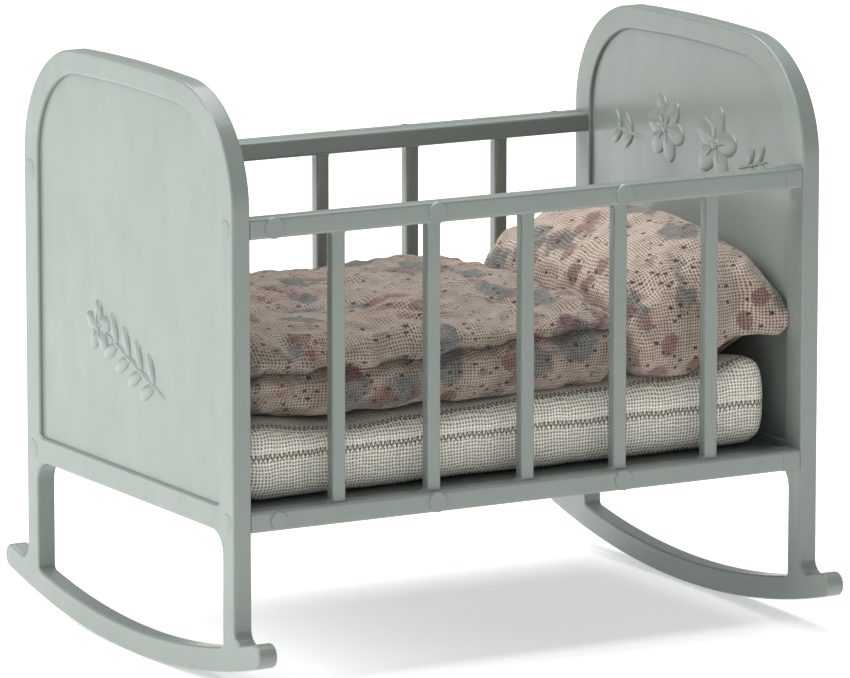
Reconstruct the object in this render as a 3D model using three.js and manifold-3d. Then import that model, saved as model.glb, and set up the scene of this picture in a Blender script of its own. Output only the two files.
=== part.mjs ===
// Miniature doll's cradle: two die-cast rocker end frames, two barred side frames, a base plate and bedding.
// Millimetres. +X runs from the foot end to the head end, +Y across, +Z up; z = 0 is the floor.
import * as THREE from "three";
import { ConvexGeometry } from "three/addons/geometries/ConvexGeometry.js";
import { RoundedBoxGeometry } from "three/addons/geometries/RoundedBoxGeometry.js";
import { mergeVertices } from "three/addons/utils/BufferGeometryUtils.js";
import Module from "manifold-3d";

const wasm = await Module();
wasm.setup();

// End frames
const LENGTH = 120;
const END_THICK = 3.6;
const HALF_WIDTH = 40.2;
const TOP_Z = 106.1;
const TOP_CROWN = 0.8;
const TOP_CORNER = 21;
const ROCKER_RADIUS = 184.5;
const ROCKER_DEPTH = 4.4;
const ROCKER_SEGMENTS = 33;
const TIP_Y = 48;
const TIP_SEGMENTS = 8;
const LEG_FILLET = 2.2;
const WINDOW_HALF = 35.9;
const WINDOW_TOP = 28.4;
const WINDOW_CORNER = 4;
const WINDOW_SEGMENTS = 16;
const RECESS_HALF = 34.8;
const RECESS_BOTTOM = 33;
const RECESS_TOP = 101.8;
const RECESS_CORNER = 16.4;
const RECESS_DEPTH = 0.7;
const RELIEF_ROOT = 0.3;
const RELIEF_HEIGHT = 0.45;
const PETAL_RATIO = 0.62;
const FLOWER_EYE = 0.4;
const LEAF_RATIO = 0.42;
const LEAF_SPREAD = 0.9;
const STEM_RATIO = 0.2;
const FOOT_SPRIGS = [{ y: -14, z: 48, angle: 0.35, pairs: 4, step: 5, leaf: 6 }];
const FOOT_FLOWERS = [{ y: 12, z: 57, petals: 5, length: 5, turn: 0.3 }];
const HEAD_FLOWERS = [
  { y: 8.2, z: 84.6, petals: 6, length: 6.6, turn: 0.2 },
  { y: -9.3, z: 83.9, petals: 5, length: 7.4, turn: 0.5 },
];
const HEAD_SPRIGS = [
  { y: 16, z: 81.5, angle: 0.1, pairs: 2, step: 4, leaf: 4.4 },
  { y: -17, z: 80.5, angle: Math.PI - 0.25, pairs: 2, step: 3.6, leaf: 4.2 },
];

// Side frames
const RAIL_OUTER = 40;
const RAIL_WIDTH = 4.7;
const RAIL_HEIGHT = 3.7;
const RAIL_EDGE = 0.7;
const TOP_RAIL_Z = 82.05;
const BOTTOM_RAIL_Z = 30.35;
const BAR_PITCH = 19.1;
const BAR_WIDTH = 2.7;
const BAR_DEPTH = 2.4;
const BAR_EDGE = 0.6;
const BAR_FLARE = 0.8;
const JOINT_GAP = 0.05;
const LEDGE_WIDTH = 2.5;
const LEDGE_HEIGHT = 1.7;
const LEDGE_ROOT = 1.2;
const BOSS_HEIGHT = 0.25;
const BOSS_ROOT = 0.6;
const BOSSES = [
  { x: -51.6, z: TOP_RAIL_Z, radius: 1.95 },
  { x: -BAR_PITCH, z: TOP_RAIL_Z, radius: 1.95 },
  { x: BAR_PITCH, z: TOP_RAIL_Z, radius: 1.95 },
  { x: -50.9, z: BOTTOM_RAIL_Z, radius: 1.7 },
  { x: -BAR_PITCH, z: BOTTOM_RAIL_Z, radius: 1.9 },
  { x: BAR_PITCH, z: BOTTOM_RAIL_Z, radius: 1.9 },
];

// Rivets
const RIVET_HEAD = 1.9;
const RIVET_HEAD_THICK = 0.9;
const RIVET_SHANK = 1;
const RIVET_REACH = 5;
const RIVET_CLEARANCE = 0.15;
const ROUND_SEGMENTS = 24;

// Base plate and bedding
const PLATE_THICK = 1.4;
const PLATE_GAP = 0.3;
const PLATE_BOTTOM = 30.3;
const MATTRESS = { x: [-55, 55], y: [-34.2, 34.2], z: [31.8, 45.6], round: 3 };
const DUVET = { x: [-55.8, 24], y: [-34.8, 34.8], z: [46, 62.6], round: 6 };
const CREASE = { z: 54.6, height: 1.2, depth: 0.5 };
const PILLOW_HALF = 34.8;
const PILLOW_ENDS = [
  [0, 0.6],
  [1.5, 0.85],
  [5, 1],
];
const PILLOW_SIDE = [
  [24.6, 48],
  [30, 46],
  [46, 46],
  [55.8, 52],
  [55.8, 66],
  [50.5, 70.6],
  [36, 67],
  [25, 57],
];
const COVER_WALL = 0.8;
const FILL_GAP = 0.25;
const SLOT_WIDTH = 40;
const SLOT_HEIGHT = 0.7;
const MATTRESS_SLOT = { x: [-56, -52], z: 38.7 };
const DUVET_SLOT = { x: [-57, -53], z: 56 };
const PILLOW_SLOT = { x: [52, 57], z: 61.5 };
const SOFT_SEGMENTS = 2;

// How far a cutting solid reaches past the face that it cuts, and how close points merge
const CUT = 1;
const MERGE = 1e-4;

// Finishes
const END_PAINT = { color: 0xaeb9b0, roughness: 0.45, metalness: 0.1 };
const SIDE_PAINT = { color: 0xa3afa6, roughness: 0.45, metalness: 0.1 };
const RIVET_PAINT = { color: 0xa9b4ab, roughness: 0.45, metalness: 0.2 };
const PLATE_PAINT = { color: 0x8f9c92, roughness: 0.5, metalness: 0.1 };
const LINEN = { color: 0xcfc6b2, roughness: 0.9, metalness: 0 };
const PRINT = { color: 0xc9aea2, roughness: 0.9, metalness: 0 };
const WADDING = { color: 0xeeeae2, roughness: 0.95, metalness: 0 };

const INNER_X = LENGTH / 2 - END_THICK;
const RAIL_Y = RAIL_OUTER - RAIL_WIDTH / 2;
const group = new THREE.Group();

// ---------- solids ----------

function solid(geometry) {
  const bare = geometry.clone();
  bare.deleteAttribute("normal");
  bare.deleteAttribute("uv");
  const merged = mergeVertices(bare, MERGE);
  return new wasm.Manifold(
    new wasm.Mesh({
      numProp: 3,
      vertProperties: new Float32Array(merged.attributes.position.array),
      triVerts: new Uint32Array(merged.index.array),
    }),
  );
}

function addMesh(name, body, finish) {
  const data = body.getMesh();
  const geometry = new THREE.BufferGeometry();
  geometry.setAttribute("position", new THREE.BufferAttribute(data.vertProperties, 3));
  geometry.setIndex(new THREE.BufferAttribute(data.triVerts, 1));
  geometry.computeVertexNormals();
  const mesh = new THREE.Mesh(geometry, new THREE.MeshStandardMaterial(finish));
  mesh.name = name;
  group.add(mesh);
}

function box(x, y, z) {
  const geometry = new THREE.BoxGeometry(x[1] - x[0], y[1] - y[0], z[1] - z[0]);
  geometry.translate((x[0] + x[1]) / 2, (y[0] + y[1]) / 2, (z[0] + z[1]) / 2);
  return solid(geometry);
}

// A flat outline in (y, z), given depth along +X from x.
function slabAlongX(shape, x, depth) {
  const geometry = new THREE.ExtrudeGeometry(shape, {
    depth,
    bevelEnabled: false,
    curveSegments: ROUND_SEGMENTS / 4,
  });
  const turn = new THREE.Matrix4().makeBasis(
    new THREE.Vector3(0, 1, 0),
    new THREE.Vector3(0, 0, 1),
    new THREE.Vector3(1, 0, 0),
  );
  geometry.applyMatrix4(turn);
  geometry.translate(x, 0, 0);
  return solid(geometry);
}

function pinAlongX(x, y, z, radius, depth) {
  const geometry = new THREE.CylinderGeometry(radius, radius, depth, ROUND_SEGMENTS);
  geometry.rotateZ(Math.PI / 2);
  geometry.translate(x + depth / 2, y, z);
  return solid(geometry);
}

function pinAlongY(x, y, z, radius, depth) {
  const geometry = new THREE.CylinderGeometry(radius, radius, depth, ROUND_SEGMENTS);
  geometry.translate(x, y + depth / 2, z);
  return solid(geometry);
}

function roundedRect(halfU, halfV, radius) {
  const shape = new THREE.Shape();
  shape.moveTo(-halfU + radius, -halfV);
  shape.lineTo(halfU - radius, -halfV);
  shape.absarc(halfU - radius, -halfV + radius, radius, -Math.PI / 2, 0, false);
  shape.lineTo(halfU, halfV - radius);
  shape.absarc(halfU - radius, halfV - radius, radius, 0, Math.PI / 2, false);
  shape.lineTo(-halfU + radius, halfV);
  shape.absarc(-halfU + radius, halfV - radius, radius, Math.PI / 2, Math.PI, false);
  shape.lineTo(-halfU, -halfV + radius);
  shape.absarc(-halfU + radius, -halfV + radius, radius, Math.PI, 1.5 * Math.PI, false);
  return shape;
}

// ---------- end frames ----------

// Height of the rocker's lower or upper curve at y.
function rockerZ(y, offset) {
  const radius = ROCKER_RADIUS - offset;
  return ROCKER_RADIUS - Math.sqrt(radius * radius - y * y);
}

function endOutline() {
  const points = [];
  for (let i = 0; i <= ROCKER_SEGMENTS; i += 1) {
    const y = TIP_Y * ((2 * i) / ROCKER_SEGMENTS - 1);
    points.push([y, rockerZ(y, 0)]);
  }
  const lean = Math.asin(TIP_Y / ROCKER_RADIUS);
  const tip = ROCKER_DEPTH / 2;
  const centreY = TIP_Y - tip * Math.sin(lean);
  const centreZ = rockerZ(TIP_Y, 0) + tip * Math.cos(lean);
  const side = [];
  for (let i = 1; i <= TIP_SEGMENTS; i += 1) {
    const angle = lean - Math.PI / 2 + (Math.PI * i) / TIP_SEGMENTS;
    side.push([centreY + tip * Math.cos(angle), centreZ + tip * Math.sin(angle)]);
  }
  const legFoot = rockerZ(HALF_WIDTH + LEG_FILLET, ROCKER_DEPTH);
  for (let i = 0; i <= TIP_SEGMENTS / 2; i += 1) {
    const angle = (Math.PI * i) / TIP_SEGMENTS;
    side.push([
      HALF_WIDTH + LEG_FILLET * (1 - Math.sin(angle)),
      legFoot + LEG_FILLET * (1 - Math.cos(angle)),
    ]);
  }
  side.push(...archCorner(HALF_WIDTH, TOP_Z, TOP_CORNER));
  points.push(...side);
  points.push([0, TOP_Z + TOP_CROWN / 2]);
  for (const [y, z] of side.reverse()) {
    points.push([-y, z]);
  }
  return new THREE.Shape(points.map(([y, z]) => new THREE.Vector2(y, z)));
}

// The rounded shoulder from the upright side to the top edge, as points on the +Y side.
function archCorner(half, top, radius) {
  const points = [];
  for (let i = 0; i <= TIP_SEGMENTS; i += 1) {
    const angle = (Math.PI * i) / (2 * TIP_SEGMENTS);
    points.push([half - radius + radius * Math.cos(angle), top - radius + radius * Math.sin(angle)]);
  }
  return points;
}

function windowHole() {
  const points = [];
  for (let i = 0; i <= WINDOW_SEGMENTS; i += 1) {
    const y = WINDOW_HALF * ((2 * i) / WINDOW_SEGMENTS - 1);
    points.push([y, rockerZ(y, ROCKER_DEPTH)]);
  }
  const corner = archCorner(WINDOW_HALF, WINDOW_TOP, WINDOW_CORNER);
  points.push(...corner);
  for (const [y, z] of corner.reverse()) {
    points.push([-y, z]);
  }
  return new THREE.Path(points.map(([y, z]) => new THREE.Vector2(y, z)));
}

function recessShape() {
  const corner = archCorner(RECESS_HALF, RECESS_TOP, RECESS_CORNER);
  const points = [[-RECESS_HALF, RECESS_BOTTOM], [RECESS_HALF, RECESS_BOTTOM], ...corner];
  points.push([0, RECESS_TOP + TOP_CROWN / 2]);
  for (const [y, z] of corner.reverse()) {
    points.push([-y, z]);
  }
  return new THREE.Shape(points.map(([y, z]) => new THREE.Vector2(y, z)));
}

// One petal or leaf: an ellipse leaving (y, z) in the direction of angle.
function petal(y, z, angle, length, width) {
  const shape = new THREE.Shape();
  const reach = length / 2;
  shape.absellipse(
    y + reach * Math.cos(angle),
    z + reach * Math.sin(angle),
    reach,
    width / 2,
    0,
    2 * Math.PI,
    false,
    angle,
  );
  return shape;
}

function flower({ y, z, petals, length, turn }) {
  const eye = length * FLOWER_EYE;
  const shapes = [petal(y - eye / 2, z, 0, eye, eye)];
  for (let i = 0; i < petals; i += 1) {
    shapes.push(petal(y, z, turn + (2 * Math.PI * i) / petals, length, length * PETAL_RATIO));
  }
  return shapes;
}

function sprig({ y, z, angle, pairs, step, leaf }) {
  const shapes = [petal(y, z, angle, step * (pairs + 1), leaf * STEM_RATIO)];
  for (let i = 1; i <= pairs; i += 1) {
    const at = [y + step * i * Math.cos(angle), z + step * i * Math.sin(angle)];
    for (const side of [-1, 1]) {
      shapes.push(petal(at[0], at[1], angle + side * LEAF_SPREAD, leaf, leaf * LEAF_RATIO));
    }
  }
  return shapes;
}

function endFrame(side, sprigs, flowers) {
  const outerX = (side * LENGTH) / 2;
  const innerX = side * INNER_X;
  const startX = Math.min(outerX, innerX);
  const outline = endOutline();
  outline.holes.push(windowHole());
  let body = slabAlongX(outline, startX, END_THICK);
  body = body.subtract(slabAlongX(recessShape(), startX - CUT, CUT + RECESS_DEPTH));
  body = body.subtract(
    slabAlongX(recessShape(), startX + END_THICK - RECESS_DEPTH, CUT + RECESS_DEPTH),
  );
  const reliefX = startX + RECESS_DEPTH - RELIEF_HEIGHT;
  for (const shape of [...sprigs.flatMap(sprig), ...flowers.flatMap(flower)]) {
    body = body.add(slabAlongX(shape, reliefX, RELIEF_HEIGHT + RELIEF_ROOT));
  }
  for (const y of [-RAIL_Y, RAIL_Y]) {
    for (const z of [TOP_RAIL_Z, BOTTOM_RAIL_Z]) {
      const bore = RIVET_SHANK + RIVET_CLEARANCE;
      const pocket = RIVET_HEAD + RIVET_CLEARANCE;
      const depth = RIVET_HEAD_THICK + RIVET_CLEARANCE;
      body = body.subtract(pinAlongX(startX - CUT, y, z, bore, END_THICK + 2 * CUT));
      const pocketX = side < 0 ? startX - CUT : startX + END_THICK - depth;
      body = body.subtract(pinAlongX(pocketX, y, z, pocket, depth + CUT));
    }
  }
  return body;
}

addMesh("foot_end", endFrame(-1, FOOT_SPRIGS, FOOT_FLOWERS), END_PAINT);
addMesh("head_end", endFrame(1, HEAD_SPRIGS, HEAD_FLOWERS), END_PAINT);

// ---------- side frames ----------

function rail(z) {
  const shape = roundedRect(RAIL_WIDTH / 2, RAIL_HEIGHT / 2, RAIL_EDGE);
  const reach = INNER_X - JOINT_GAP;
  return slabAlongX(shape, -reach, 2 * reach).translate([0, 0, z]);
}

// An upright bar with small flares where it meets the rails.
function bar(x) {
  const bottom = BOTTOM_RAIL_Z;
  const top = TOP_RAIL_Z;
  const shape = roundedRect(BAR_WIDTH / 2, BAR_DEPTH / 2, BAR_EDGE);
  const options = { depth: top - bottom, bevelEnabled: false, curveSegments: SOFT_SEGMENTS };
  const geometry = new THREE.ExtrudeGeometry(shape, options);
  geometry.translate(x, 0, bottom);
  let body = solid(geometry);
  for (const [z, direction] of [
    [bottom + RAIL_HEIGHT / 2, 1],
    [top - RAIL_HEIGHT / 2, -1],
  ]) {
    const wide = BAR_DEPTH / Math.SQRT2 + BAR_FLARE;
    const narrow = BAR_DEPTH / Math.SQRT2;
    const low = direction > 0 ? wide : narrow;
    const high = direction > 0 ? narrow : wide;
    const flare = new THREE.CylinderGeometry(high, low, BAR_FLARE, 4);
    flare.rotateY(Math.PI / 4);
    flare.rotateX(Math.PI / 2);
    flare.translate(x, 0, z + (direction * BAR_FLARE) / 2);
    body = body.add(solid(flare));
  }
  return body;
}

function sideFrame(side) {
  let body = rail(TOP_RAIL_Z).add(rail(BOTTOM_RAIL_Z));
  for (let i = -2; i <= 2; i += 1) {
    body = body.add(bar(i * BAR_PITCH));
  }
  const inner = -RAIL_WIDTH / 2;
  const ledgeBottom = BOTTOM_RAIL_Z - RAIL_HEIGHT / 2;
  const reach = INNER_X - JOINT_GAP;
  const ledge = box(
    [-reach, reach],
    [inner - LEDGE_WIDTH, inner + LEDGE_ROOT],
    [ledgeBottom, ledgeBottom + LEDGE_HEIGHT],
  );
  body = body.add(ledge);
  const outer = RAIL_WIDTH / 2;
  for (const { x, z, radius } of BOSSES) {
    body = body.add(pinAlongY(-side * x, outer - BOSS_ROOT, z, radius, BOSS_ROOT + BOSS_HEIGHT));
  }
  for (const end of [-1, 1]) {
    for (const z of [TOP_RAIL_Z, BOTTOM_RAIL_Z]) {
      const depth = RIVET_REACH + RIVET_CLEARANCE;
      const x = end < 0 ? -INNER_X - CUT : INNER_X - depth;
      body = body.subtract(pinAlongX(x, 0, z, RIVET_SHANK + RIVET_CLEARANCE, depth + CUT));
    }
  }
  return side > 0 ? body.translate([0, RAIL_Y, 0]) : body.mirror([0, 1, 0]).translate([0, -RAIL_Y, 0]);
}

addMesh("near_side_frame", sideFrame(-1), SIDE_PAINT);
addMesh("far_side_frame", sideFrame(1), SIDE_PAINT);

// ---------- rivets ----------

function rivet(end, y, z) {
  const head = RIVET_HEAD_THICK;
  const shank = END_THICK + RIVET_REACH;
  const outer = LENGTH / 2;
  const headX = end < 0 ? -outer : outer - head;
  const shankX = end < 0 ? -outer : outer - shank;
  return pinAlongX(headX, y, z, RIVET_HEAD, head).add(pinAlongX(shankX, y, z, RIVET_SHANK, shank));
}

for (const [endName, end] of [["foot", -1], ["head", 1]]) {
  for (const [sideName, side] of [["near", -1], ["far", 1]]) {
    for (const [levelName, z] of [["top", TOP_RAIL_Z], ["bottom", BOTTOM_RAIL_Z]]) {
      const body = rivet(end, side * RAIL_Y, z);
      addMesh(`rivet_${endName}_${sideName}_${levelName}`, body, RIVET_PAINT);
    }
  }
}

// ---------- base plate ----------

const plateX = INNER_X - PLATE_GAP;
const plateY = RAIL_OUTER - RAIL_WIDTH - PLATE_GAP;
addMesh(
  "base_plate",
  box([-plateX, plateX], [-plateY, plateY], [PLATE_BOTTOM, PLATE_BOTTOM + PLATE_THICK]),
  PLATE_PAINT,
);

// ---------- bedding ----------

// A cushion block with rounded edges all round.
function cushion({ x, y, z, round }) {
  const size = [x[1] - x[0], y[1] - y[0], z[1] - z[0]];
  const geometry = new RoundedBoxGeometry(size[0], size[1], size[2], SOFT_SEGMENTS, round);
  geometry.translate((x[0] + x[1]) / 2, (y[0] + y[1]) / 2, (z[0] + z[1]) / 2);
  return geometry;
}

// The pillow's side view carried across the cradle and narrowed towards both ends.
function pillowBlock() {
  const centreX = (PILLOW_SIDE[0][0] + PILLOW_SIDE[3][0]) / 2;
  const centreZ = (PILLOW_SIDE[1][1] + PILLOW_SIDE[5][1]) / 2;
  const points = [];
  for (const [inset, scale] of PILLOW_ENDS) {
    for (const [x, z] of PILLOW_SIDE) {
      for (const side of [-1, 1]) {
        points.push(
          new THREE.Vector3(
            centreX + (x - centreX) * scale,
            side * (PILLOW_HALF - inset),
            centreZ + (z - centreZ) * scale,
          ),
        );
      }
    }
  }
  return new ConvexGeometry(points);
}

// The same block pulled in by a distance on every side.
function pulledIn(geometry, distance) {
  const inner = geometry.clone();
  inner.computeBoundingBox();
  const centre = inner.boundingBox.getCenter(new THREE.Vector3());
  const size = inner.boundingBox.getSize(new THREE.Vector3());
  inner.translate(-centre.x, -centre.y, -centre.z);
  inner.scale(
    1 - (2 * distance) / size.x,
    1 - (2 * distance) / size.y,
    1 - (2 * distance) / size.z,
  );
  inner.translate(centre.x, centre.y, centre.z);
  return inner;
}

// A fabric cover with its closing slot, and the filling inside it.
function addBedding(name, block, slot, fabric, crease) {
  let cover = solid(block).subtract(solid(pulledIn(block, COVER_WALL)));
  if (crease) {
    cover = cover.subtract(crease);
  }
  cover = cover.subtract(
    box(
      slot.x,
      [-SLOT_WIDTH / 2, SLOT_WIDTH / 2],
      [slot.z - SLOT_HEIGHT / 2, slot.z + SLOT_HEIGHT / 2],
    ),
  );
  const filling = solid(pulledIn(block, COVER_WALL + FILL_GAP));
  addMesh(`${name}_cover`, cover, fabric);
  addMesh(`${name}_filling`, filling, WADDING);
}

// The pinched seam along the duvet's near side.
const crease = box(
  [DUVET.x[0] + DUVET.round, DUVET.x[1] - DUVET.round],
  [DUVET.y[0] - CUT, DUVET.y[0] + CREASE.depth],
  [CREASE.z - CREASE.height / 2, CREASE.z + CREASE.height / 2],
);

addBedding("mattress", cushion(MATTRESS), MATTRESS_SLOT, LINEN);
addBedding("duvet", cushion(DUVET), DUVET_SLOT, PRINT, crease);
addBedding("pillow", pillowBlock(), PILLOW_SLOT, PRINT);

export default group;
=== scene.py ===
import math

import bmesh
import bpy
import numpy as np
from mathutils import Matrix, Vector, noise


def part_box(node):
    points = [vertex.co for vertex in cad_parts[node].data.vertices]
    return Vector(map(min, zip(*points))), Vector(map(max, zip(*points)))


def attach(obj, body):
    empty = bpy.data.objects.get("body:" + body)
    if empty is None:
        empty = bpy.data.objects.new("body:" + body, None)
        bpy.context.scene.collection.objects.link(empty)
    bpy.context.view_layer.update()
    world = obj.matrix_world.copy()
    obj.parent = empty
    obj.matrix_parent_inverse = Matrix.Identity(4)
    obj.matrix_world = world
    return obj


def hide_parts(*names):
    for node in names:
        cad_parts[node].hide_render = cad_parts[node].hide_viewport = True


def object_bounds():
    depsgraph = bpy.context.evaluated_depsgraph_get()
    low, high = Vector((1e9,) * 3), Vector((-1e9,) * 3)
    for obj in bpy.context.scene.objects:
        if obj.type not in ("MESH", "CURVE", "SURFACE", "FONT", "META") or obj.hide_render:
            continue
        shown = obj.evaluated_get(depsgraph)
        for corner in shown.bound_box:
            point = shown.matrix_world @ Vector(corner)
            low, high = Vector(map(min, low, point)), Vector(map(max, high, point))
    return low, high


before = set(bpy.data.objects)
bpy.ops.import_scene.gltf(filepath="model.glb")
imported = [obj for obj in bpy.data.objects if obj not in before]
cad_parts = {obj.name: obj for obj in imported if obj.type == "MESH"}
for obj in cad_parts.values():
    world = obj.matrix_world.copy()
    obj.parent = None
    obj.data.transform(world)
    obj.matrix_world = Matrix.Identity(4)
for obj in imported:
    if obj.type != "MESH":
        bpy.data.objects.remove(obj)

CAD_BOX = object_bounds()
MM = 0.001
COLLECTION = bpy.context.scene.collection

# ---------------------------------------------------------------- sizes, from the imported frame

FOOT_LOW, FOOT_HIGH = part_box("foot_end")
HEAD_LOW, HEAD_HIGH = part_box("head_end")
NEAR_LOW, NEAR_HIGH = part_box("near_side_frame")
FAR_LOW, FAR_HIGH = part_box("far_side_frame")
PLATE_LOW, PLATE_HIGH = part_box("base_plate")
MATTRESS_LOW, MATTRESS_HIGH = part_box("mattress_cover")
DUVET_LOW, DUVET_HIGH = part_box("duvet_cover")
PILLOW_LOW, PILLOW_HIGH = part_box("pillow_cover")
END_THICK = (FOOT_HIGH[0] - FOOT_LOW[0]) / MM
INNER_X = HEAD_LOW[0] / MM
RAIL_REACH = NEAR_HIGH[0] / MM

# ---------------------------------------------------------------- mesh helpers, in millimetres


def new_object(name, mesh):
    piece = bpy.data.objects.new(name, mesh)
    COLLECTION.objects.link(piece)
    return piece


def mesh_from(name, vertices, faces):
    mesh = bpy.data.meshes.new(name)
    mesh.from_pydata([tuple(v) for v in vertices], [], [tuple(f) for f in faces])
    mesh.validate()
    mesh.update()
    return mesh


def plate(loops, thickness, bevel, matrix):
    """A flat outline with holes, given thickness and rounded edges, as a mesh."""
    curve = bpy.data.curves.new("outline", "CURVE")
    curve.dimensions = "2D"
    curve.fill_mode = "BOTH"
    curve.extrude = thickness / 2 - bevel
    curve.bevel_depth = bevel
    curve.bevel_resolution = 3
    curve.offset = -bevel
    for loop in loops:
        spline = curve.splines.new("POLY")
        spline.points.add(len(loop) - 1)
        for point, (u, v) in zip(spline.points, loop):
            point.co = (u, v, 0, 1)
        spline.use_cyclic_u = True
    holder = new_object("outline", curve)
    mesh = bpy.data.meshes.new_from_object(holder.evaluated_get(bpy.context.evaluated_depsgraph_get()))
    bpy.data.objects.remove(holder)
    bpy.data.curves.remove(curve)
    mesh.transform(matrix)
    return mesh


def joined(name, meshes):
    """One object from several meshes in millimetres."""
    whole = bmesh.new()
    for mesh in meshes:
        whole.from_mesh(mesh)
    bmesh.ops.remove_doubles(whole, verts=whole.verts, dist=1e-4)
    mesh = bpy.data.meshes.new(name)
    whole.to_mesh(mesh)
    whole.free()
    mesh.transform(Matrix.Scale(MM, 4))
    for part in meshes:
        bpy.data.meshes.remove(part)
    for polygon in mesh.polygons:
        polygon.use_smooth = True
    mesh.set_sharp_from_angle(angle=math.radians(38))
    piece = new_object(name, mesh)
    weighted = piece.modifiers.new("even_normals", "WEIGHTED_NORMAL")
    weighted.keep_sharp = True
    return piece


def along_x(x):
    """Takes a flat outline drawn in (y, z) to the plane at x."""
    return Matrix(((0, 0, 1, x), (1, 0, 0, 0), (0, 1, 0, 0), (0, 0, 0, 1)))


def along_y(y):
    """Takes a flat outline drawn in (x, z) to the plane at y."""
    return Matrix(((1, 0, 0, 0), (0, 0, -1, y), (0, 1, 0, 0), (0, 0, 0, 1)))


def bar_along_x(profile, x0, x1):
    """A profile in (y, z) carried from x0 to x1, with closed ends."""
    count = len(profile)
    vertices = [(x, y, z) for x in (x0, x1) for y, z in profile]
    faces = [(i, i + count, (i + 1) % count + count, (i + 1) % count) for i in range(count)]
    faces.append(tuple(range(count)))
    faces.append(tuple(reversed(range(count, 2 * count))))
    return mesh_from("bar", vertices, faces)


def pebble(centre, radii, turn, plane):
    """A low rounded relief: an ellipsoid whose flat axis is X."""
    shape = bmesh.new()
    bmesh.ops.create_uvsphere(shape, u_segments=24, v_segments=12, radius=1)
    mesh = bpy.data.meshes.new("pebble")
    shape.to_mesh(mesh)
    shape.free()
    mesh.transform(Matrix.Diagonal((radii[0], radii[1], radii[2], 1)))
    mesh.transform(Matrix.Rotation(turn, 4, "Z"))
    mesh.transform(along_x(plane) @ Matrix.Translation((centre[0], centre[1], 0)))
    return mesh


def disc_along_y(x, y, z, radius, height, rim):
    """A low round boss on a face that looks along Y, with a rounded rim."""
    shape = [(0, height), (radius - rim, height), (radius - rim * 0.3, height * 0.8), (radius, 0)]
    steps = 40
    vertices = []
    for r, h in shape:
        for i in range(steps):
            a = 2 * math.pi * i / steps
            vertices.append((x + r * math.cos(a), y + h, z + r * math.sin(a)))
    faces = []
    for ring in range(len(shape) - 1):
        for i in range(steps):
            j = (i + 1) % steps
            faces.append(
                (ring * steps + i, ring * steps + j, (ring + 1) * steps + j, (ring + 1) * steps + i)
            )
    return mesh_from("disc", vertices, faces)


def rounded_profile(half_y, half_z, radius, centre, steps=4):
    points = []
    for sy, sz, start in ((1, -1, -90), (1, 1, 0), (-1, 1, 90), (-1, -1, 180)):
        for i in range(steps + 1):
            a = math.radians(start + 90 * i / steps)
            points.append(
                (
                    centre[0] + sy * (half_y - radius) + radius * math.cos(a),
                    centre[1] + sz * (half_z - radius) + radius * math.sin(a),
                )
            )
    return points


# ---------------------------------------------------------------- end frames

ROCKER_RADIUS = 184.5
ROCKER_DEPTH = 4.4
TIP_Y = 48
HALF_WIDTH = 40.2
TOP_Z = FOOT_HIGH[2] / MM - 0.4


def rocker_z(y, offset):
    radius = ROCKER_RADIUS - offset
    return ROCKER_RADIUS - math.sqrt(radius * radius - y * y)


def shoulder(half, top, radius, steps=24):
    points = []
    for i in range(steps + 1):
        a = math.pi * i / (2 * steps)
        points.append((half - radius + radius * math.cos(a), top - radius + radius * math.sin(a)))
    return points


def mirrored(side):
    return [(-y, z) for y, z in reversed(side)]


def crown(half, top, rise, steps=12):
    """The slight arch of a top edge between its shoulders."""
    points = []
    for i in range(1, steps):
        y = half * (1 - 2 * i / steps)
        points.append((y, top + rise * (1 - (y / half) ** 2)))
    return points


def end_outline():
    count = 80
    bottom = []
    for i in range(count + 1):
        y = TIP_Y * (2 * i / count - 1)
        bottom.append((y, rocker_z(y, 0)))
    lean = math.asin(TIP_Y / ROCKER_RADIUS)
    tip = ROCKER_DEPTH / 2
    centre = (TIP_Y - tip * math.sin(lean), rocker_z(TIP_Y, 0) + tip * math.cos(lean))
    side = []
    for i in range(1, 17):
        a = lean - math.pi / 2 + math.pi * i / 16
        side.append((centre[0] + tip * math.cos(a), centre[1] + tip * math.sin(a)))
    fillet = 2.2
    for i in range(1, 4):
        y = centre[0] - tip * math.sin(lean) + (HALF_WIDTH + fillet - centre[0]) * i / 4
        side.append((y, rocker_z(y, ROCKER_DEPTH)))
    foot = rocker_z(HALF_WIDTH + fillet, ROCKER_DEPTH)
    for i in range(9):
        a = math.pi * i / 16
        side.append((HALF_WIDTH + fillet * (1 - math.sin(a)), foot + fillet * (1 - math.cos(a))))
    side.extend(shoulder(HALF_WIDTH, TOP_Z, 21))
    return bottom + side + crown(HALF_WIDTH - 21, TOP_Z, 0.4) + mirrored(side)


def window_outline():
    half = 35.9
    lip = 0.9
    side = []
    for i in range(7):
        a = math.pi * i / 12
        side.append(
            (
                half - lip + lip * math.sin(a),
                rocker_z(half - lip, ROCKER_DEPTH) + lip * (1 - math.cos(a)),
            )
        )
    side.extend(shoulder(half, 28.4, 4, 12))
    count = 48
    bottom = []
    for i in range(1, count):
        y = (half - lip) * (2 * i / count - 1)
        bottom.append((y, rocker_z(y, ROCKER_DEPTH)))
    return bottom + side + mirrored(side)


def recess_outline(grow):
    half = 34.8 + grow
    bottom = 33 - grow
    corner = 1
    side = []
    for i in range(7):
        a = -math.pi / 2 + math.pi * i / 12
        side.append((half - corner + corner * math.cos(a), bottom + corner + corner * math.sin(a)))
    side.extend(shoulder(half, 101.8 + grow, 16.4 + grow))
    return side + crown(half - 16.4 - grow, 101.8 + grow, 0.4) + mirrored(side)


def leaf(y, z, angle, length, width, plane, height):
    centre = (y + length / 2 * math.cos(angle), z + length / 2 * math.sin(angle))
    return pebble(centre, (length / 2, width / 2, height), angle, plane)


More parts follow.
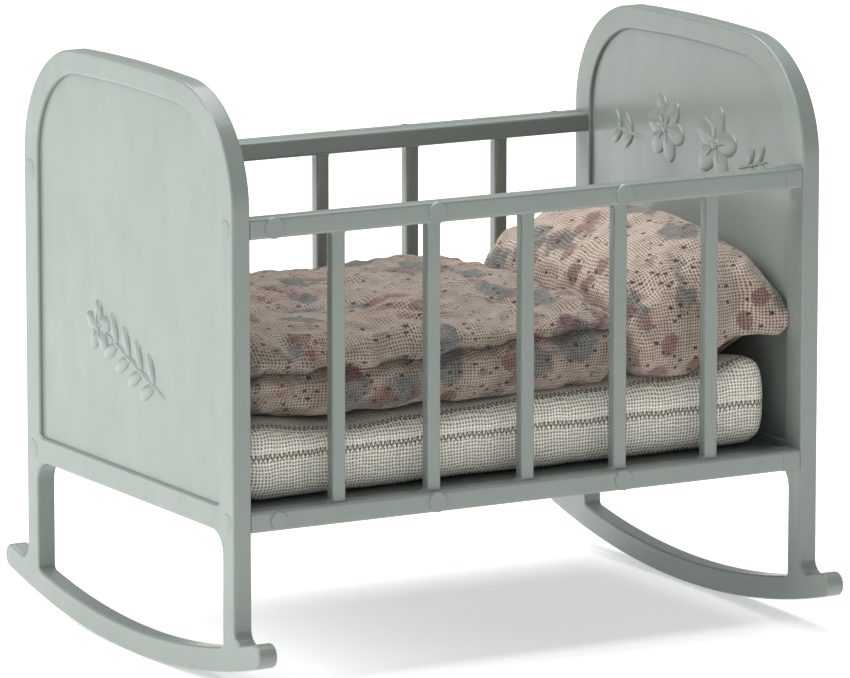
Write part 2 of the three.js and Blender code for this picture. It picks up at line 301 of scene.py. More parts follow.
def flower(y, z, petals, length, turn, plane):
    parts = []
    for i in range(petals):
        a = turn + 2 * math.pi * i / petals
        parts.append(leaf(y, z, a, length, length * 0.66, plane, 0.5))
        parts.append(leaf(y, z, a, length * 0.62, length * 0.12, plane, 0.66))
    parts.append(pebble((y, z), (length / 5, length / 5, 0.72), 0, plane))
    return parts


def sprig(y, z, angle, pairs, step, size, plane):
    parts = [leaf(y, z, angle, step * (pairs + 1), size / 6, plane, 0.42)]
    for i in range(1, pairs + 1):
        at = (y + step * i * math.cos(angle), z + step * i * math.sin(angle))
        for side in (-1, 1):
            parts.append(leaf(at[0], at[1], angle + side * 0.85, size, size * 0.4, plane, 0.45))
    return parts


def end_frame(name, x, relief):
    middle = x + END_THICK / 2
    parts = [
        plate([end_outline(), window_outline(), recess_outline(0)], END_THICK, 0.42, along_x(middle)),
        plate([recess_outline(1.2)], END_THICK - 1.4, 0.1, along_x(middle)),
    ]
    return joined(name, parts + relief)


foot_plane = FOOT_LOW[0] / MM + 0.7
foot_relief = sprig(-14, 48, 0.35, 4, 5, 6, foot_plane) + flower(12, 57, 5, 5, 0.3, foot_plane)
head_plane = INNER_X + 0.7
head_relief = (
    flower(8.2, 84.6, 6, 6.6, 0.2, head_plane)
    + flower(-9.3, 83.9, 5, 7.4, 0.5, head_plane)
    + sprig(16, 81.5, 0.1, 2, 4, 4.4, head_plane)
    + sprig(-17, 80.5, math.pi - 0.25, 2, 3.6, 4.2, head_plane)
)
foot_end = end_frame("foot_end_casting", FOOT_LOW[0] / MM, foot_relief)
head_end = end_frame("head_end_casting", INNER_X, head_relief)

# ---------------------------------------------------------------- side frames

RAIL_HALF = 2.35
RAIL_RISE = 1.85
BAR_PITCH = 19.1


def rail_profile(z, facing):
    """The rail's section: rounded edges and the step of the die's parting line on top."""
    top = RAIL_RISE
    step = 0.22
    half = RAIL_HALF
    edge = 0.55
    points = []
    for sy, sz, start in ((1, -1, -90), (1, 1, 0)):
        for i in range(5):
            a = math.radians(start + 22.5 * i)
            points.append((sy * (half - edge) + edge * math.cos(a), sz * (top - edge) + edge * math.sin(a)))
    points += [(half - 1.7, top), (half - 1.85, top - 0.04), (half - 2.0, top - step)]
    for sy, sz, start in ((-1, 1, 90), (-1, -1, 180)):
        for i in range(5):
            a = math.radians(start + 22.5 * i)
            lower = step if sz > 0 else 0
            points.append(
                (
                    sy * (half - edge) + edge * math.cos(a),
                    sz * (top - edge) - lower + edge * math.sin(a),
                )
            )
    turned = [(facing * y, z + h) for y, h in points]
    return turned if facing > 0 else list(reversed(turned))


def bar_slots():
    """Window outlines between the bars, with small fillets at the rails."""
    loops = []
    low = 30.35 + RAIL_RISE - 0.1
    high = 82.05 - RAIL_RISE + 0.1
    edges = [-RAIL_REACH]
    for k in range(-2, 3):
        edges += [k * BAR_PITCH - 1.35, k * BAR_PITCH + 1.35]
    edges.append(RAIL_REACH)
    fillet = 0.8
    for i in range(1, 5):
        x0, x1 = edges[2 * i], edges[2 * i + 1]
        loop = []
        for cx, cz, start in (
            (x0 + fillet, low + fillet, 180),
            (x1 - fillet, low + fillet, 270),
            (x1 - fillet, high - fillet, 0),
            (x0 + fillet, high - fillet, 90),
        ):
            for j in range(6):
                a = math.radians(start + 18 * j)
                loop.append((cx + fillet * math.cos(a), cz + fillet * math.sin(a)))
        loops.append(loop)
    return loops, edges[1], edges[-2], low, high


def grate_outline(x0, x1, low, high):
    """The outside of the bars: it runs into the rails, with fillets beside the end bars."""
    fillet = 0.8
    deep = 1.4
    loop = [(x0 - fillet, low - deep), (x1 + fillet, low - deep), (x1 + fillet, low)]
    for j in range(6):
        a = math.radians(270 - 18 * j)
        loop.append((x1 + fillet + fillet * math.cos(a), low + fillet + fillet * math.sin(a)))
    for j in range(6):
        a = math.radians(180 - 18 * j)
        loop.append((x1 + fillet + fillet * math.cos(a), high - fillet + fillet * math.sin(a)))
    loop += [(x1 + fillet, high + deep), (x0 - fillet, high + deep)]
    for j in range(6):
        a = math.radians(90 - 18 * j)
        loop.append((x0 - fillet + fillet * math.cos(a), high - fillet + fillet * math.sin(a)))
    for j in range(6):
        a = math.radians(0 - 18 * j)
        loop.append((x0 - fillet + fillet * math.cos(a), low + fillet + fillet * math.sin(a)))
    loop.append((x0 - fillet, low - deep))
    return loop


def side_frame(name, side, low_corner, high_corner):
    """side is -1 for the near frame and 1 for the far one, which is the same casting turned round."""
    outer = side * 40.0
    centre = outer - side * RAIL_HALF
    parts = []
    for z in (30.35, 82.05):
        profile = [(centre + y, h) for y, h in rail_profile(z, side)]
        parts.append(bar_along_x(profile, -RAIL_REACH, RAIL_REACH))
    slots, x0, x1, low, high = bar_slots()
    outline = grate_outline(x0, x1, low, high)
    parts.append(plate([outline] + slots, 2.4, 0.55, along_y(centre)))
    ledge = rounded_profile(1.6, 0.85, 0.3, (centre - side * (RAIL_HALF + 0.9), 29.35))
    parts.append(bar_along_x(ledge, -RAIL_REACH, RAIL_REACH))
    face = outer
    for x, z, radius in (
        (-51.6, 82.05, 1.95),
        (-50.9, 30.35, 1.7),
        (-BAR_PITCH, 30.35, 1.9),
        (BAR_PITCH, 30.35, 1.9),
        (-BAR_PITCH, 82.05, 1.95),
        (BAR_PITCH, 82.05, 1.95),
    ):
        parts.append(disc_along_y(-side * x, face - side * 0.6, z, radius, side * 0.88, 0.2))
    for z in (30.35, 82.05):
        block = rounded_profile(RAIL_HALF + 0.05, RAIL_RISE + 0.05, 0.55, (centre, z))
        ends = sorted((-side * (RAIL_REACH - 3.4), -side * RAIL_REACH))
        parts.append(bar_along_x(block, *ends))
    return joined(name, parts)


def rivet_piece(name, low_corner, high_corner, side):
    """A rivet set flush in the end frame, with a shallow rounded head that shows as a faint ring."""
    y = (low_corner[1] + high_corner[1]) / 2 / MM
    z = (low_corner[2] + high_corner[2]) / 2 / MM
    outer = (high_corner[0] if side > 0 else low_corner[0]) / MM
    inner = (low_corner[0] if side > 0 else high_corner[0]) / MM
    shape = [(outer + side * 0.07, 0), (outer + side * 0.07, 1.5), (outer + side * 0.045, 1.78)]
    shape += [(outer - side * 0.02, 1.9), (outer - side * 0.9, 1.9), (outer - side * 0.9, 1), (inner, 1)]
    shape.append((inner, 0))
    steps = 40
    vertices = []
    for x, r in shape:
        for i in range(steps):
            a = 2 * math.pi * i / steps
            vertices.append((x, y + r * math.cos(a), z + r * math.sin(a)))
    faces = []
    for ring in range(len(shape) - 1):
        for i in range(steps):
            j = (i + 1) % steps
            quad = (ring * steps + i, (ring + 1) * steps + i, (ring + 1) * steps + j, ring * steps + j)
            faces.append(quad if side > 0 else quad[::-1])
    return joined(name, [mesh_from(name, vertices, faces)])


rivets = {}
for node_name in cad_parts:
    if node_name.startswith("rivet_"):
        toward = -1 if "_foot_" in node_name else 1
        rivets[node_name] = rivet_piece(node_name + "_set", *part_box(node_name), toward)

near_side = side_frame("near_side_casting", -1, NEAR_LOW, NEAR_HIGH)
far_side = side_frame("far_side_casting", 1, FAR_LOW, FAR_HIGH)

# ---------------------------------------------------------------- soft goods

SIM_SCALE = 0.01  # one simulation unit is 100 mm, so that the cloth solver works at its usual size


def grid_box(half, counts):
    """Vertices in [-1, 1] and faces of a closed box grid."""
    index = {}
    vertices = []
    faces = []

    def vertex(i, j, k):
        key = (i, j, k)
        if key not in index:
            index[key] = len(vertices)
            vertices.append([2 * i / counts[0] - 1, 2 * j / counts[1] - 1, 2 * k / counts[2] - 1])
        return index[key]

    for axis in range(3):
        u, v = [a for a in range(3) if a != axis]
        for end in (0, counts[axis]):
            for a in range(counts[u]):
                for b in range(counts[v]):
                    quad = []
                    for da, db in ((0, 0), (1, 0), (1, 1), (0, 1)):
                        key = [0, 0, 0]
                        key[axis] = end
                        key[u] = a + da
                        key[v] = b + db
                        quad.append(vertex(*key))
                    outward = (end > 0) == (axis != 1)
                    faces.append(quad if outward else quad[::-1])
    return np.array(vertices), faces


def rounded_block(half, radius, counts):
    """A box grid pulled to rounded edges, in millimetres about its centre."""
    points, faces = grid_box(half, counts)
    half = np.array(half)
    spread = points * half
    inner = np.clip(spread, -(half - radius), half - radius)
    out = spread - inner
    length = np.linalg.norm(out, axis=1)
    keep = length > 1e-9
    largest = np.abs(out).max(axis=1)
    out[keep] *= (largest[keep] / length[keep])[:, None]
    return inner + out, faces, points


def fbm(point, scale, seed, octaves=3):
    p = Vector(point) * scale + Vector((seed * 17.3, seed * 5.7, seed * 11.9))
    return noise.fractal(p, 0.9, 2.1, octaves)


def inflate(mesh, voxel, pressure, cap, frames=20, pinned=None):
    """Swells a closed mesh, in millimetres, with the cloth solver and caps how far a point moves."""
    work = mesh.copy()
    work.transform(Matrix.Scale(SIM_SCALE, 4))
    piece = new_object("swelling", work)
    remesh = piece.modifiers.new("remesh", "REMESH")
    remesh.mode = "VOXEL"
    remesh.voxel_size = voxel * SIM_SCALE
    graph = bpy.context.evaluated_depsgraph_get()
    even = bpy.data.meshes.new_from_object(piece.evaluated_get(graph))
    piece.modifiers.remove(remesh)
    piece.data = even
    start = np.empty(len(even.vertices) * 3)
    even.vertices.foreach_get("co", start)
    start = start.reshape(-1, 3)
    cloth = piece.modifiers.new("cloth", "CLOTH")
    cloth.settings.use_pressure = True
    cloth.settings.uniform_pressure_force = pressure
    cloth.settings.quality = 6
    cloth.settings.bending_stiffness = 0.4
    cloth.settings.tension_stiffness = 12
    cloth.settings.compression_stiffness = 12
    cloth.settings.mass = 0.3
    cloth.settings.effector_weights.gravity = 0
    cloth.collision_settings.use_collision = False
    cloth.point_cache.frame_start = 1
    cloth.point_cache.frame_end = frames
    scene = bpy.context.scene
    for number in range(1, frames + 1):
        scene.frame_set(number)
        piece.evaluated_get(bpy.context.evaluated_depsgraph_get())
    done = bpy.data.meshes.new_from_object(
        piece.evaluated_get(bpy.context.evaluated_depsgraph_get())
    )
    end = np.empty(len(done.vertices) * 3)
    done.vertices.foreach_get("co", end)
    end = end.reshape(-1, 3)
    scene.frame_set(1)
    bpy.data.meshes.remove(done)
    move = end - start
    length = np.linalg.norm(move, axis=1)
    limit = cap * SIM_SCALE
    factor = np.where(length > limit, limit / np.maximum(length, 1e-9), 1.0)
    out = (start + move * factor[:, None]) / SIM_SCALE
    piece.modifiers.clear()
    result = piece.data.copy()
    bpy.data.objects.remove(piece)
    result.vertices.foreach_set("co", out.reshape(-1))
    result.update()
    return result


def shaped(mesh, change):
    """Applies change(array of points) to a mesh's vertices."""
    points = np.empty(len(mesh.vertices) * 3)
    mesh.vertices.foreach_get("co", points)
    points = change(points.reshape(-1, 3))
    mesh.vertices.foreach_set("co", points.reshape(-1))
    mesh.update()


def soft_object(name, mesh, smooth_levels=1):
    mesh.transform(Matrix.Scale(MM, 4))
    for polygon in mesh.polygons:
        polygon.use_smooth = True
    piece = new_object(name, mesh)
    even = piece.modifiers.new("subdivision", "SUBSURF")
    even.levels = smooth_levels
    even.render_levels = smooth_levels
    return piece


def relax(mesh, rounds, factor=0.5):
    """Evens out a mesh a little by pulling each point to its neighbours."""
    work = bmesh.new()
    work.from_mesh(mesh)
    for _ in range(rounds):
        bmesh.ops.smooth_vert(
            work, verts=work.verts, factor=factor, use_axis_x=True, use_axis_y=True, use_axis_z=True
        )
    work.to_mesh(mesh)
    work.free()


def wrinkled(points, seed, large, small, lift=None):
    """Moves points by smooth noise: large soft folds and small creases."""
    out = points.copy()
    for i, p in enumerate(points):
        a = large * fbm(p, 1 / 17, seed)
        b = small * fbm(p, 1 / 6, seed + 3)
        direction = lift(p) if lift else Vector((0, 0, 1))
        out[i] += np.array(direction) * (a + b)
    return out


# Mattress: a box cushion with crowned faces and slightly raised corners.


def mattress_mesh():
    low = np.array(MATTRESS_LOW) / MM
    high = np.array(MATTRESS_HIGH) / MM
    centre = (low + high) / 2
    half = (high - low) / 2 - np.array([0.3, 0.3, 0.5])
    points, faces, unit = rounded_block(half, 3.2, (92, 60, 14))
    mesh = mesh_from("mattress", points + centre, faces)
    mesh = inflate(mesh, 1.3, 3.0, 0.9)

    def change(points):
        out = points.copy()
        u = (out[:, 0] - centre[0]) / half[0]
        v = (out[:, 1] - centre[1]) / half[1]
        w = (out[:, 2] - centre[2]) / half[2]
        top = np.clip((w + 1) / 2, 0, 1)
        line = np.interp(
            out[:, 0],
            [-55, -52, -45, -34, -19, 0, 25, 39, 46, 50, 52.5, 55],
            [0.6, 0.5, -0.4, -1.6, -1.0, 0.1, 0.6, 1.0, 2.6, 4.4, 4.2, 2.4],
        )
        ends = np.interp(out[:, 0], [20, 40, 55], [1, 0.5, 0.3])
        middle = np.clip(np.abs(v), 0, 1) ** 3
        out[:, 2] += top * line * (ends + (1 - ends) * middle)
        lean = 1 - 0.5 * np.clip(np.abs(w), 0, 1) ** 2
        out[:, 0] += np.sign(u) * np.clip(np.abs(u) - 0.9, 0, 0.1) * 6 * (lean - 0.7)
        out[:, 1] -= np.sign(v) * 0.5 * np.clip(1 - u * u, 0, 1) * np.clip(np.abs(v), 0, 1) ** 6
        out = wrinkled(out, 1, 0.35, 0.12)
        out[:, 2] = np.maximum(out[:, 2], low[2])
        return out

    shaped(mesh, change)
    relax(mesh, 2)
    return mesh


# Duvet: a quilt folded in two, with the fold at the far side and the two hems at the near side.


def arc(cy, cz, ry, rz, a0, a1, count):
    out = []
    for i in range(count + 1):
        a = math.radians(a0 + (a1 - a0) * i / count)
        out.append((cy + ry * math.cos(a), cz + rz * math.sin(a)))
    return out


def even_loop(points, count):
    """A closed loop resampled to evenly spaced points."""
    loop = np.array(points + [points[0]])
    step = np.linalg.norm(np.diff(loop, axis=0), axis=1)
    run = np.concatenate([[0], np.cumsum(step)])
    at = np.linspace(0, run[-1], count, endpoint=False)
    return np.stack([np.interp(at, run, loop[:, 0]), np.interp(at, run, loop[:, 1])], axis=1)


def duvet_seam(x):
    """Height of the seam that runs round the duvet's edge."""
    rise = min(max((x + 28) / 45, 0), 1)
    return 54.0 + 2.2 * rise * rise * (3 - 2 * rise)


def duvet_section(seam):
    low = DUVET_LOW[2] / MM
    high = DUVET_HIGH[2] / MM - 0.3
    near = DUVET_LOW[1] / MM + 0.6
    far = DUVET_HIGH[1] / MM - 0.4
    points = [(near + 9, low), (0, low), (far - 9, low)]
    points += arc(far - 9, seam, 9, seam - low, -86, -4, 14)
    points += arc(far - 9, seam, 9, high - 0.6 - seam, 4, 86, 14)
    points += [(far - 20, high), (4, high)]
    points += arc(near + 22, seam, 21.4, high - 0.6 - seam, 90, 176, 26)
    points += arc(near + 8, seam, 8, seam - low, 184, 266, 18)
    return even_loop(points, 190)


def duvet_mesh():
    left = DUVET_LOW[0] / MM
    right = DUVET_HIGH[0] / MM + 1.4
    near = DUVET_LOW[1] / MM + 0.6
    low = DUVET_LOW[2] / MM
    count = 96
    reach = 7.5
    rings = []
    for i in range(count + 1):
        x = left + (right - left) * i / count
        seam = duvet_seam(x)
        edge = min(x - left, right - x)
        shrink = math.sqrt(max(0.0, 1 - (1 - min(edge / reach, 1)) ** 2))
        shrink = 0.16 + 0.84 * shrink
        section = duvet_section(seam)
        rings.append([(x, y * (0.93 + 0.07 * shrink), seam + (z - seam) * shrink) for y, z in section])
    vertices = [p for ring in rings for p in ring]
    n = len(rings[0])
    faces = []
    for i in range(count):
        for j in range(n):
            k = (j + 1) % n
            faces.append((i * n + j, i * n + k, (i + 1) * n + k, (i + 1) * n + j))
    faces.append(tuple(reversed(range(n))))
    faces.append(tuple(range(count * n, (count + 1) * n)))
    mesh = mesh_from("duvet", vertices, faces)
    mesh = inflate(mesh, 0.8, 3.0, 0.7)

    def change(points):
        out = points.copy()
        x, y, z = out[:, 0].copy(), out[:, 1].copy(), out[:, 2].copy()
        rise = np.clip((x + 28) / 45, 0, 1)
        seam = 54.0 + 2.2 * rise * rise * (3 - 2 * rise) + 0.35 * np.sin(x * 0.5)
        corner = np.clip((-42 - x) / 12, 0, 1) * np.clip((-y - 12) / 20, 0, 1)
        side = np.clip((near + 7 - y) / 6, 0, 1)
        far_side = np.clip((y - 28) / 6, 0, 1)
        end = np.clip((x - right + 6) / 5, 0, 1)
        away = z - seam
        groove = np.exp(-((away / 1.05) ** 2))
        soft = np.exp(-((away / 3.2) ** 2))
        pucker = 0.5 + 0.5 * np.sin(x * 1.15 + 1.3 * np.sin(x * 0.31))
        depth = groove * 2.6 + soft * (0.3 + 0.7 * pucker)
        out[:, 1] += side * depth - far_side * depth
        end_pucker = 0.5 + 0.5 * np.sin(y * 1.1)
        out[:, 0] -= end * (groove * 1.5 + soft * (0.2 + 0.5 * end_pucker))
        out[:, 2] += corner * 3.6 * np.clip((54 - z) / 6, 0, 1)
        top = np.clip((z - 57) / 5, 0, 1)
        out[:, 2] += top * (0.5 * np.sin(x * 0.095 + 1.2) * np.cos(y * 0.07) - 1.4)
        for i, p in enumerate(points):
            q = Vector((p[0], p[1], p[2]))
            bend = noise.noise_vector(q / 14 + Vector((4, 9, 2))) * 5
            big = noise.fractal((q + bend) / 11 + Vector((2, 3, 7)), 0.8, 2.0, 3)
            ridge = 1 - abs(noise.noise((q + bend) / 5.5 + Vector((9, 1, 4)))) * 2.6
            push = 1.15 * big + 0.8 * max(ridge, -0.4)
            direction = np.array([0.1 * (p[0] + 16) / 40, (p[1] / 36) ** 3, (p[2] - seam[i]) / 7])
            direction /= max(np.linalg.norm(direction), 1e-6)
            out[i] += direction * push
        out[:, 1] = np.where(out[:, 1] < -34.8, -34.8 + 0.15 * (out[:, 1] + 34.8), out[:, 1])
        out[:, 1] = np.where(out[:, 1] > 34.8, 34.8 + 0.15 * (out[:, 1] - 34.8), out[:, 1])
        out[:, 2] = np.maximum(out[:, 2], low - 0.4)
        return out

    shaped(mesh, change)
    relax(mesh, 1, 0.2)
    return mesh


# Pillow: two panels sewn round the edge, filled in the middle, leaning on the headboard.


def pillow_mesh():
    n, m = 92, 44
    half_y, half_x = 36.2, 18
    vertices = []
    for layer in (1, -1):
        for i in range(m + 1):
            for j in range(n + 1):
                u = 2 * j / n - 1
                v = 2 * i / m - 1
                bulge = (max(0, 1 - abs(u) ** 4.5) * max(0, 1 - abs(v) ** 3.6)) ** 0.55
                bulge *= 1 - 0.62 * (abs(u) * abs(v)) ** 3
                thick = 15.0 if layer > 0 else 11.0
                waist_y = 1 - 0.09 * (1 - v * v)
                waist_x = 1 - 0.1 * (1 - u * u)
                gather = 0.4 * math.sin(u * 24) * abs(v) ** 6 + 0.4 * math.sin(v * 15) * abs(u) ** 6
                vertices.append((v * half_x * waist_x, u * half_y * waist_y, layer * thick * bulge + gather))
    faces = []
    row = n + 1
    size = row * (m + 1)
    for i in range(m):
        for j in range(n):
            a = i * row + j
            faces.append((a, a + row, a + row + 1, a + 1))
            b = size + a
            faces.append((b, b + 1, b + row + 1, b + row))
    mesh = mesh_from("pillow", vertices, faces)
    work = bmesh.new()
    work.from_mesh(mesh)
    bmesh.ops.remove_doubles(work, verts=work.verts, dist=0.02)
    bmesh.ops.recalc_face_normals(work, faces=work.faces)
    work.to_mesh(mesh)
    work.free()
    mesh = inflate(mesh, 0.9, 3.5, 0.9)
    floor = MATTRESS_HIGH[2] / MM + 0.5
    wall = PILLOW_HIGH[0] / MM + 0.3
    start = 25.6

    def change(points):
        out = points.copy()
        for i, p in enumerate(points):
            q = Vector((p[0], p[1], p[2]))
            bend = noise.noise_vector(q / 13 + Vector((14, 2, 5))) * 4
            big = noise.fractal((q + bend) / 12 + Vector((5, 8, 1)), 0.8, 2.0, 3)
            ridge = 1 - abs(noise.noise((q + bend) / 6.5 + Vector((1, 6, 4)))) * 2.6
            push = 1.1 * big + 0.6 * max(ridge, -0.4)
            out[i, 2] += push * (1 if p[2] > 0 else -1)
        tilt = math.radians(13)
        x = out[:, 0] * math.cos(tilt) - out[:, 2] * math.sin(tilt)
        z = out[:, 0] * math.sin(tilt) + out[:, 2] * math.cos(tilt)
        y = out[:, 1].copy()
        out[:, 0] = x + 41.6
        out[:, 2] = z + 54.4
        across = np.clip(np.abs(y) / 35, 0, 1)
        back = np.clip((out[:, 0] - 36) / 20, 0, 1)
        out[:, 2] -= 3.4 * across**4 * back
        out[:, 2] += 2.0 * back * (1 - across**2)
        out[:, 1] = y - 0.9
        front = np.clip((32 - out[:, 0]) / 10, 0, 1)
        out[:, 1] -= np.clip(out[:, 1] - 12, 0, 30) * 0.5 * front
        fold = np.exp(-(((out[:, 0] - 47.5) / 2.6) ** 2)) * np.clip((-out[:, 1] - 27) / 8, 0, 1)
        out[:, 1] += 2.4 * fold
        near_end = np.clip((-out[:, 1] - 18) / 9, 0, 1)
        under = np.interp(out[:, 0], [38, 43, 48, 52, 56], [46, 50, 52.6, 53, 52.4])
        lifted = np.where(out[:, 2] < under, under + 0.12 * (out[:, 2] - under), out[:, 2])
        out[:, 2] += near_end * (lifted - out[:, 2])
        ear = -34.8 - 2.4 * np.clip((out[:, 0] - 48) / 4, 0, 1)
        out[:, 1] = np.where(out[:, 1] < ear, ear + 0.15 * (out[:, 1] - ear), out[:, 1])
        out[:, 1] = np.where(out[:, 1] > 34.8, 34.8 + 0.15 * (out[:, 1] - 34.8), out[:, 1])
        out[:, 2] = np.where(out[:, 2] < floor, floor + 0.04 * (out[:, 2] - floor), out[:, 2])
        out[:, 0] = np.where(out[:, 0] > wall, wall + 0.08 * (out[:, 0] - wall), out[:, 0])
        out[:, 0] = np.where(out[:, 0] < start, start + 0.15 * (out[:, 0] - start), out[:, 0])
        return out

    shaped(mesh, change)
    relax(mesh, 1, 0.4)
    return mesh


mattress = soft_object("mattress_cushion", mattress_mesh())
duvet = soft_object("folded_duvet", duvet_mesh())
pillow = soft_object("head_pillow", pillow_mesh())

# ---------------------------------------------------------------- materials


class Nodes:
    """A short way to build a material's nodes."""

    def __init__(self, name):
        self.material = bpy.data.materials.new(name)
        self.material.use_nodes = True
        self.tree = self.material.node_tree
        self.shader = next(n for n in self.tree.nodes if n.type == "BSDF_PRINCIPLED")

    def add(self, kind, **settings):
        node = self.tree.nodes.new(kind)
        for key, value in settings.items():
            setattr(node, key, value)
        return node

    def link(self, source, target):
        self.tree.links.new(source, target)

    def put(self, value, socket):
        if isinstance(value, (int, float)):
            socket.default_value = value
        else:
            self.link(value, socket)

    def math(self, operation, *values):
        node = self.add("ShaderNodeMath", operation=operation)
        for socket, value in zip(node.inputs, values):
            self.put(value, socket)
        return node.outputs[0]

    def mix(self, factor, a, b, mode="MIX"):
        node = self.add("ShaderNodeMix", data_type="RGBA", blend_type=mode)
        self.put(factor, node.inputs[0])
        for value, socket in ((a, node.inputs[6]), (b, node.inputs[7])):
            if isinstance(value, tuple):
                socket.default_value = (*value, 1)
            else:
                self.link(value, socket)
        return node.outputs[2]

    def position(self):
        return self.add("ShaderNodeTexCoord").outputs["Object"]

    def scaled(self, vector, scale, turn=(0, 0, 0)):
        node = self.add("ShaderNodeMapping")
        self.link(vector, node.inputs["Vector"])
        node.inputs["Scale"].default_value = scale
        node.inputs["Rotation"].default_value = turn
        return node.outputs[0]

    def noise(self, vector, scale, detail=3, roughness=0.55):
        node = self.add("ShaderNodeTexNoise")
        self.link(vector, node.inputs["Vector"])
        node.inputs["Scale"].default_value = scale
        node.inputs["Detail"].default_value = detail
        node.inputs["Roughness"].default_value = roughness
        return node.outputs[0]

    def ramp(self, value, low, high, out_low=0.0, out_high=1.0):
        node = self.add("ShaderNodeMapRange", interpolation_type="SMOOTHSTEP")
        self.put(value, node.inputs["Value"])
        node.inputs["From Min"].default_value = low
        node.inputs["From Max"].default_value = high
        node.inputs["To Min"].default_value = out_low
        node.inputs["To Max"].default_value = out_high
        return node.outputs[0]

    def bump(self, height, strength, distance):
        node = self.add("ShaderNodeBump")
        node.inputs["Strength"].default_value = strength
        node.inputs["Distance"].default_value = distance
        self.link(height, node.inputs["Height"])
        self.link(node.outputs[0], self.shader.inputs["Normal"])

    def surface_uv(self):
        """Two lengths along the surface, chosen by which way it faces, in metres."""
        parts = self.add("ShaderNodeSeparateXYZ")
        self.link(self.position(), parts.inputs[0])
        facing = self.add("ShaderNodeSeparateXYZ")
        self.link(self.add("ShaderNodeTexCoord").outputs["Normal"], facing.inputs[0])
        x, y, z = parts.outputs
        nx, ny, nz = (self.math("ABSOLUTE", o) for o in facing.outputs)
        end_on = self.math("GREATER_THAN", nx, self.math("MAXIMUM", ny, nz))
        flat = self.math("GREATER_THAN", nz, ny)
        u = self.pick(end_on, x, y)
        v = self.pick(self.math("MAXIMUM", end_on, self.math("SUBTRACT", 1.0, flat)), y, z)
        return u, v

    def pick(self, chooser, a, b):
        """a where chooser is 0, b where it is 1."""
        return self.math("ADD", a, self.math("MULTIPLY", chooser, self.math("SUBTRACT", b, a)))

    def threads(self, length, pitch):
        """0 at the middle of a thread, 1 in the gap between two."""
        return self.math("MULTIPLY", self.math("PINGPONG", self.math("DIVIDE", length, pitch), 0.5), 2.0)


    def woven(self, u, v, pitch):
        """Plain weave: the light on each thread, the holes, each thread's own tone and the height."""
        gap_u = self.threads(u, pitch)
        gap_v = self.threads(v, pitch)
        row_u = self.math("ROUND", self.math("DIVIDE", u, pitch))
        row_v = self.math("ROUND", self.math("DIVIDE", v, pitch))
        parity = self.math("FLOORED_MODULO", self.math("ADD", row_u, row_v), 2.0)
        over = self.pick(parity, gap_u, gap_v)
        shade = self.ramp(over, 0.3, 1.0, 1, 0.5)
        hole = self.math("MULTIPLY", self.ramp(gap_u, 0.26, 0.72), self.ramp(gap_v, 0.26, 0.72))
        tones = []
        for row in (row_u, self.math("ADD", row_v, 41.0)):
            tone = self.add("ShaderNodeTexWhiteNoise", noise_dimensions="1D")
            self.link(row, tone.inputs["W"])
            tones.append(tone.outputs["Value"])
        tone = self.math("MULTIPLY", self.math("ADD", *tones), 0.5)
        return shade, hole, tone, self.math("SUBTRACT", 1.0, over)

    def wander(self, vector, amount, turn):
        """A length that drifts, so that threads run unevenly."""
        moved = self.scaled(vector, (1, 1, 1), turn)
        slow = self.math("SUBTRACT", self.noise(moved, 150, 1), 0.5)
        quick = self.math("SUBTRACT", self.noise(moved, 700, 1), 0.5)
        return self.math("MULTIPLY", self.math("ADD", slow, self.math("MULTIPLY", quick, 0.3)), amount)


    def painted_seam_shade(self):
        """1 on a thin line of painted shade in the crease where the duvet's two panels are sewn, on its near
        side.
        """
        parts = self.add("ShaderNodeSeparateXYZ")
        self.link(self.position(), parts.inputs[0])
        x, y, z = parts.outputs
        rise = self.ramp(x, -0.028, 0.017, 0.0, 0.0022)
        ripple = self.math("MULTIPLY", self.math("SINE", self.math("MULTIPLY", x, 500.0)), 0.00035)
        seam = self.math("ADD", self.math("ADD", rise, ripple), 0.054)
        away = self.math("ABSOLUTE", self.math("SUBTRACT", z, seam))
        line = self.ramp(away, 0.00012, 0.0003, 0.6, 0)
        return self.math("MULTIPLY", line, self.math("LESS_THAN", y, -0.026))


def painted(name, colour, roughness):
    """Satin paint on a zinc casting: slight flow marks, thinner colour patches and a soft gloss."""
    n = Nodes(name)
    p = n.position()
    patch = n.noise(p, 55, 3)
    fine = n.noise(p, 900, 2)
    flow = n.noise(n.scaled(p, (1, 1, 0.35)), 260, 3)
    light = tuple(min(1, c * 1.02) for c in colour)
    dark = tuple(c * 0.97 for c in colour)
    base = n.mix(n.ramp(patch, 0.3, 0.7), dark, light)
    speck = n.ramp(fine, 0.68, 0.76, 0, 0.2)
    base = n.mix(speck, base, tuple(min(1, c * 1.1) for c in colour))
    n.link(base, n.shader.inputs["Base Color"])
    n.link(n.ramp(flow, 0.25, 0.75, roughness - 0.06, roughness + 0.08), n.shader.inputs["Roughness"])
    n.shader.inputs["Metallic"].default_value = 0.0
    n.shader.inputs["Specular IOR Level"].default_value = 0.5
    n.shader.inputs["Coat Weight"].default_value = 0.35
    n.shader.inputs["Coat Roughness"].default_value = 0.16
    height = n.math("ADD", n.math("MULTIPLY", flow, 0.7), n.math("MULTIPLY", fine, 0.3))
    n.bump(height, 0.12, 0.00012)
    return n.material


